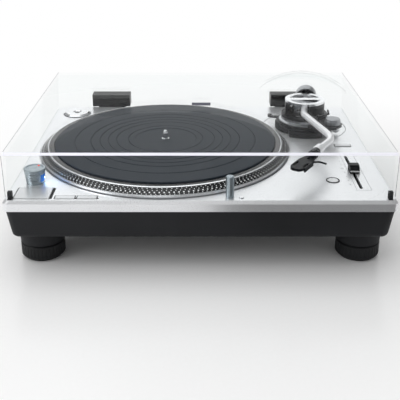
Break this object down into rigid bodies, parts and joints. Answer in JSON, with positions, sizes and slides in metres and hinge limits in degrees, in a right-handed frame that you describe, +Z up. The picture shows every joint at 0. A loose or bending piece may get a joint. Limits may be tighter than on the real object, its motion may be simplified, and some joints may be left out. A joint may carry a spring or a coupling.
{
  "type": "turntable",
  "caption": "Direct drive record turntable with a dotted platter, bent tonearm, round screw feet and a hinged clear cover with a dome over the arm pivot.",
  "frame": {"origin": "under the middle of the whole object, on the surface it stands on", "axes": "+X to the right seen from the front, +Y to the back, +Z up"},
  "size_m": [0.453, 0.372, 0.173],
  "materials": {
    "silver_chassis": "satin",
    "black_base": "matte moulded",
    "steel_fixings": "plain",
    "motor_steel": "plain",
    "inner_board": "plain",
    "socket_metal": "plated",
    "black_trim": "satin",
    "pillar_metal": "satin",
    "lamp_blue": "lit",
    "bright_metal": "polished",
    "arm_black": "satin",
    "scale_silver": "satin",
    "platter_metal": "machined, dotted rim",
    "mat_rubber": "matte",
    "clear_cover": "clear acrylic",
    "button_silver": "satin",
    "arm_silver": "satin",
    "weight_metal": "satin",
    "foot_black": "matte"
  },
  "bodies": {
    "plinth": {"top_chassis": "silver_chassis", "base_shell": "black_base", "chassis_screws": "steel_fixings", "motor_plate": "motor_steel", "motor_stator": "motor_steel", "power_unit": "inner_board", "circuit_boards": "inner_board", "terminal_plate": "black_base", "signal_sockets": "socket_metal", "mains_inlet": "black_trim", "hinge_brackets": "black_base", "strobe_pillar": "pillar_metal", "strobe_lamp": "lamp_blue", "pitch_plate": "button_silver", "pitch_fader": "inner_board", "reset_ring": "bright_metal", "arm_base": "arm_black"},
    "platter": {"platter": "platter_metal", "slip_mat": "mat_rubber", "spindle": "steel_fixings", "rotor_magnet": "motor_steel"},
    "cover": {"dust_cover": "clear_cover", "cover_bumpers": "mat_rubber", "hinge_sockets": "black_trim", "hinge_pins": "steel_fixings"},
    "start_button": {"start_button": "button_silver"},
    "speed_button_33": {"speed_button_33": "button_silver"},
    "speed_button_45": {"speed_button_45": "button_silver"},
    "slim_button": {"slim_button": "button_silver"},
    "reset_button": {"reset_button": "button_silver"},
    "light_button": {"light_button": "bright_metal"},
    "stylus_light": {"stylus_light": "bright_metal"},
    "power_dial": {"power_dial": "pillar_metal"},
    "record_adaptor": {"record_adaptor": "bright_metal"},
    "pitch_knob": {"pitch_knob": "black_trim"},
    "height_lock": {"height_lock_ring": "black_trim"},
    "height_ring": {"height_ring": "scale_silver"},
    "turret": {"arm_turret": "arm_black", "yoke_top_ring": "bright_metal", "arm_rest": "black_trim"},
    "gimbal": {"gimbal_ring": "arm_silver"},
    "arm": {"bearing_block": "arm_silver", "arm_tube": "arm_silver", "headshell": "arm_black"},
    "locking_collar": {"locking_collar": "arm_silver"},
    "counterweight_bush": {"counterweight_bush": "weight_metal"},
    "counterweight": {"counterweight": "weight_metal"},
    "scale_ring": {"scale_ring": "weight_metal"},
    "cue_lever": {"cue_lever": "bright_metal"},
    "lift_bar": {"lift_bar": "bright_metal"},
    "antiskate_dial": {"antiskate_dial": "scale_silver"},
    "arm_clamp": {"arm_clamp": "black_trim"},
    "foot_stud_front_left": {"foot_stud_front_left": "steel_fixings"},
    "foot_front_left": {"foot_front_left": "foot_black"},
    "foot_stud_front_right": {"foot_stud_front_right": "steel_fixings"},
    "foot_front_right": {"foot_front_right": "foot_black"},
    "foot_stud_rear_left": {"foot_stud_rear_left": "steel_fixings"},
    "foot_rear_left": {"foot_rear_left": "foot_black"},
    "foot_stud_rear_right": {"foot_stud_rear_right": "steel_fixings"},
    "foot_rear_right": {"foot_rear_right": "foot_black"}
  },
  "joints": [
    {"name": "platter_spin", "type": "hinge", "parent": "plinth", "child": "platter", "pos_m": [-0.047, -0.0123, 0.095], "axis": [0, 0, 1], "continuous": true},
    {"name": "cover_open", "type": "hinge", "parent": "plinth", "child": "cover", "pos_m": [0, 0.177, 0.084], "axis": [-1, 0, 0], "range_deg": [0, 62]},
    {"name": "start_press", "type": "slide", "parent": "plinth", "child": "start_button", "axis": [0, 0, 1], "range_m": [-0.0012, 0], "stiffness_N_per_m": 400},
    {"name": "speed_33_press", "type": "slide", "parent": "plinth", "child": "speed_button_33", "axis": [0, 0, 1], "range_m": [-0.0012, 0], "stiffness_N_per_m": 300},
    {"name": "speed_45_press", "type": "slide", "parent": "plinth", "child": "speed_button_45", "axis": [0, 0, 1], "range_m": [-0.0012, 0], "stiffness_N_per_m": 300},
    {"name": "slim_press", "type": "slide", "parent": "plinth", "child": "slim_button", "axis": [0, 0, 1], "range_m": [-0.001, 0], "stiffness_N_per_m": 300},
    {"name": "reset_press", "type": "slide", "parent": "plinth", "child": "reset_button", "axis": [0, 0, 1], "range_m": [-0.0006, 0], "stiffness_N_per_m": 300},
    {"name": "light_button_press", "type": "slide", "parent": "plinth", "child": "light_button", "axis": [0, 0, 1], "range_m": [-0.0009, 0], "stiffness_N_per_m": 200},
    {"name": "light_push_down", "type": "slide", "parent": "plinth", "child": "stylus_light", "axis": [0, 0, 1], "range_m": [-0.024, 0]},
    {"name": "power_turn", "type": "hinge", "parent": "plinth", "child": "power_dial", "pos_m": [-0.1985, -0.131, 0.108], "axis": [0, 0, -1], "range_deg": [0, 45]},
    {"name": "adaptor_lift", "type": "slide", "parent": "plinth", "child": "record_adaptor", "axis": [0, 0, 1], "range_m": [0, 0.025]},
    {"name": "pitch_slide", "type": "slide", "parent": "plinth", "child": "pitch_knob", "axis": [0, 1, 0], "range_m": [-0.043, 0.043]},
    {"name": "height_lock_turn", "type": "hinge", "parent": "plinth", "child": "height_lock", "pos_m": [0.1515, 0.07, 0.1015], "axis": [0, 0, -1], "range_deg": [0, 30]},
    {"name": "height_ring_turn", "type": "hinge", "parent": "plinth", "child": "height_ring", "pos_m": [0.1515, 0.07, 0.106], "axis": [0, 0, 1], "range_deg": [0, 180]},
    {"name": "arm_height", "type": "slide", "parent": "plinth", "child": "turret", "axis": [0, 0, 1], "range_m": [0, 0.006]},
    {"name": "arm_swing", "type": "hinge", "parent": "turret", "child": "gimbal", "pos_m": [0.1515, 0.07, 0.123], "axis": [0, 0, -1], "range_deg": [0, 46]},
    {"name": "arm_lift", "type": "hinge", "parent": "gimbal", "child": "arm", "pos_m": [0.1515, 0.07, 0.123], "axis": [-0.9854, 0.1702, 0], "range_deg": [0, 2.4]},
    {"name": "collar_turn", "type": "hinge", "parent": "arm", "child": "locking_collar", "pos_m": [0.14165, -0.10938, 0.123], "axis": [-0.527, -0.8499, 0], "range_deg": [0, 60]},
    {"name": "counterweight_advance", "type": "slide", "parent": "arm", "child": "counterweight_bush", "axis": [0.1702, 0.9854, 0], "range_m": [0, 0.006]},
    {"name": "counterweight_turn", "type": "hinge", "parent": "counterweight_bush", "child": "counterweight", "pos_m": [0.16001, 0.11927, 0.123], "axis": [0.1702, 0.9854, 0], "range_deg": [0, 1080]},
    {"name": "scale_ring_turn", "type": "hinge", "parent": "counterweight", "child": "scale_ring", "pos_m": [0.15763, 0.10547, 0.123], "axis": [0.1702, 0.9854, 0], "range_deg": [-180, 180]},
    {"name": "cue_lever_turn", "type": "hinge", "parent": "turret", "child": "cue_lever", "pos_m": [0.181, 0.039, 0.106], "axis": [0, -1, 0], "range_deg": [0, 38]},
    {"name": "lift_bar_rise", "type": "slide", "parent": "turret", "child": "lift_bar", "axis": [0, 0, 1], "range_m": [0, 0.00143]},
    {"name": "antiskate_turn", "type": "hinge", "parent": "turret", "child": "antiskate_dial", "pos_m": [0.1845, 0.022, 0.115], "axis": [0, 0, 1], "range_deg": [0, 270]},
    {"name": "clamp_close", "type": "hinge", "parent": "turret", "child": "arm_clamp", "pos_m": [0.16152, 0.00305, 0.1296], "axis": [0.2436, -0.9699, 0], "range_deg": [0, 165]},
    {"name": "stud_drop_front_left", "type": "slide", "parent": "plinth", "child": "foot_stud_front_left", "axis": [0, 0, -1], "range_m": [0, 0.004]},
    {"name": "foot_turn_front_left", "type": "hinge", "parent": "foot_stud_front_left", "child": "foot_front_left", "pos_m": [-0.1935, -0.1375, 0.01], "axis": [0, 0, 1], "range_deg": [0, 720]},
    {"name": "stud_drop_front_right", "type": "slide", "parent": "plinth", "child": "foot_stud_front_right", "axis": [0, 0, -1], "range_m": [0, 0.004]},
    {"name": "foot_turn_front_right", "type": "hinge", "parent": "foot_stud_front_right", "child": "foot_front_right", "pos_m": [0.1935, -0.1375, 0.01], "axis": [0, 0, 1], "range_deg": [0, 720]},
    {"name": "stud_drop_rear_left", "type": "slide", "parent": "plinth", "child": "foot_stud_rear_left", "axis": [0, 0, -1], "range_m": [0, 0.004]},
    {"name": "foot_turn_rear_left", "type": "hinge", "parent": "foot_stud_rear_left", "child": "foot_rear_left", "pos_m": [-0.1935, 0.118, 0.01], "axis": [0, 0, 1], "range_deg": [0, 720]},
    {"name": "stud_drop_rear_right", "type": "slide", "parent": "plinth", "child": "foot_stud_rear_right", "axis": [0, 0, -1], "range_m": [0, 0.004]},
    {"name": "foot_turn_rear_right", "type": "hinge", "parent": "foot_stud_rear_right", "child": "foot_rear_right", "pos_m": [0.1935, 0.118, 0.01], "axis": [0, 0, 1], "range_deg": [0, 720]}
  ],
  "couplings": [
    {"joint": "height_ring_turn", "follows": "arm_height", "rad_per_m": 523.6},
    {"joint": "cue_lever_turn", "follows": "arm_lift", "ratio": 15.833},
    {"joint": "lift_bar_rise", "follows": "arm_lift", "m_per_rad": 0.034139},
    {"joint": "counterweight_advance", "follows": "counterweight_turn", "m_per_rad": 0.00031831},
    {"joint": "stud_drop_front_left", "follows": "foot_turn_front_left", "m_per_rad": 0.00031831},
    {"joint": "stud_drop_front_right", "follows": "foot_turn_front_right", "m_per_rad": 0.00031831},
    {"joint": "stud_drop_rear_left", "follows": "foot_turn_rear_left", "m_per_rad": 0.00031831},
    {"joint": "stud_drop_rear_right", "follows": "foot_turn_rear_right", "m_per_rad": 0.00031831}
  ]
}
